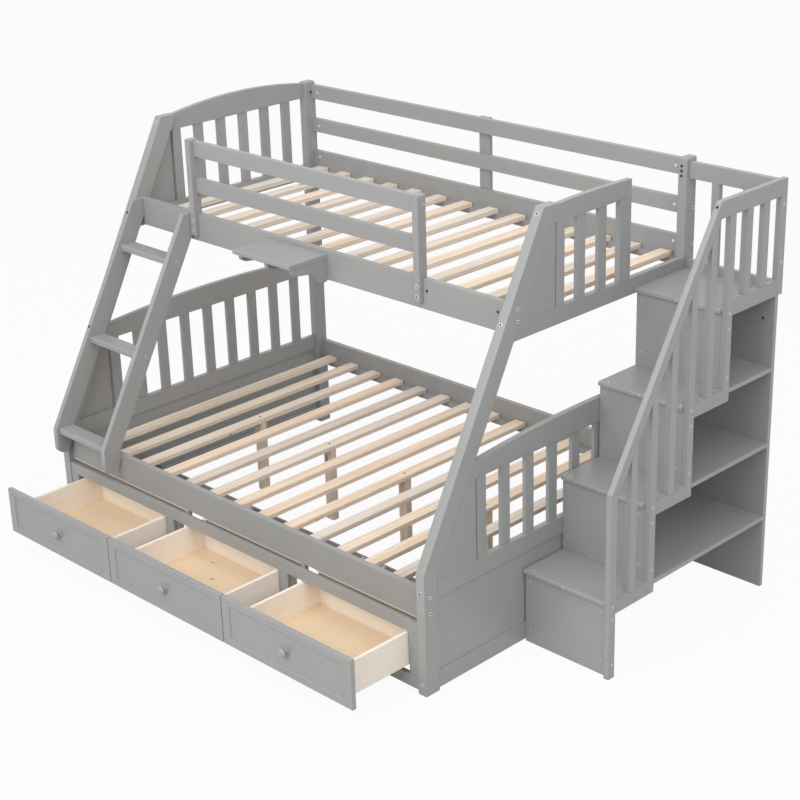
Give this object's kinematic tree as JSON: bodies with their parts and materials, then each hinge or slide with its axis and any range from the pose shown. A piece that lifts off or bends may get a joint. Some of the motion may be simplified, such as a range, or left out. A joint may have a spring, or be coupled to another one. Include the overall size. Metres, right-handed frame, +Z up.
{
  "type": "bunk bed",
  "caption": "A-frame bunk bed, wide lower bed and narrow upper bed, stair block with open shelves and railing, ladder, guard rails and under-bed drawers",
  "frame": {"origin": "middle of the overall box, on the floor, with the drawers standing open as pictured", "axes": "+X along the bed towards the stairs, +Y from the open front to the wall side, +Z up"},
  "size_m": [2.407, 1.756, 1.5859],
  "materials": {
    "grey_paint": "satin paint",
    "pine": "bare pine",
    "bolt_steel": "zinc plated",
    "knob_paint": "satin paint"
  },
  "bodies": {
    "bed": {"back_guard": "grey_paint", "back_spacer": "grey_paint", "bedside_shelf": "grey_paint", "case_back": "grey_paint", "case_frame": "grey_paint", "case_panels": "grey_paint", "case_runners": "pine", "centre_legs": "pine", "deck_top_rail": "grey_paint", "foot_back_post": "grey_paint", "foot_corner_panels": "grey_paint", "foot_front_leg": "grey_paint", "foot_high_rails": "grey_paint", "foot_high_slats": "grey_paint", "foot_low_arch": "grey_paint", "foot_low_panel": "grey_paint", "foot_low_rails": "grey_paint", "foot_low_slats": "grey_paint", "frame_bolts": "bolt_steel", "front_guard_posts": "grey_paint", "front_guard_rails": "grey_paint", "handrail": "grey_paint", "head_back_post": "grey_paint", "head_corner_panels": "grey_paint", "head_front_leg": "grey_paint", "head_high_rails": "grey_paint", "head_high_slats": "grey_paint", "head_low_arch": "grey_paint", "head_low_panel": "grey_paint", "head_low_rails": "grey_paint", "head_low_slats": "grey_paint", "high_back_rail": "grey_paint", "high_bed_slats": "pine", "high_cleats": "pine", "high_front_rail": "grey_paint", "ladder_rungs": "grey_paint", "ladder_stiles": "grey_paint", "low_back_rail": "grey_paint", "low_bed_slats": "pine", "low_cleats": "pine", "low_front_rail": "grey_paint", "railing_balusters": "grey_paint", "railing_posts": "grey_paint", "railing_rails": "grey_paint", "rear_guard_balusters": "grey_paint", "rear_guard_rails": "grey_paint", "shelf_brackets": "grey_paint", "stair_back_panel": "grey_paint", "stair_bolts": "bolt_steel", "stair_risers": "grey_paint", "stair_treads": "grey_paint"},
    "drawer1": {"drawer1_front": "grey_paint", "drawer1_box": "pine", "drawer1_knob": "knob_paint"},
    "drawer2": {"drawer2_front": "grey_paint", "drawer2_box": "pine", "drawer2_knob": "knob_paint"},
    "drawer3": {"drawer3_front": "grey_paint", "drawer3_box": "pine", "drawer3_knob": "knob_paint"}
  },
  "joints": [
    {"name": "drawer1_slide", "type": "slide", "parent": "bed", "child": "drawer1", "axis": [0, -1, 0], "range_m": [-0.2837, 0.02]},
    {"name": "drawer2_slide", "type": "slide", "parent": "bed", "child": "drawer2", "axis": [0, -1, 0], "range_m": [-0.2837, 0.02]},
    {"name": "drawer3_slide", "type": "slide", "parent": "bed", "child": "drawer3", "axis": [0, -1, 0], "range_m": [-0.2837, 0.02]}
  ]
}
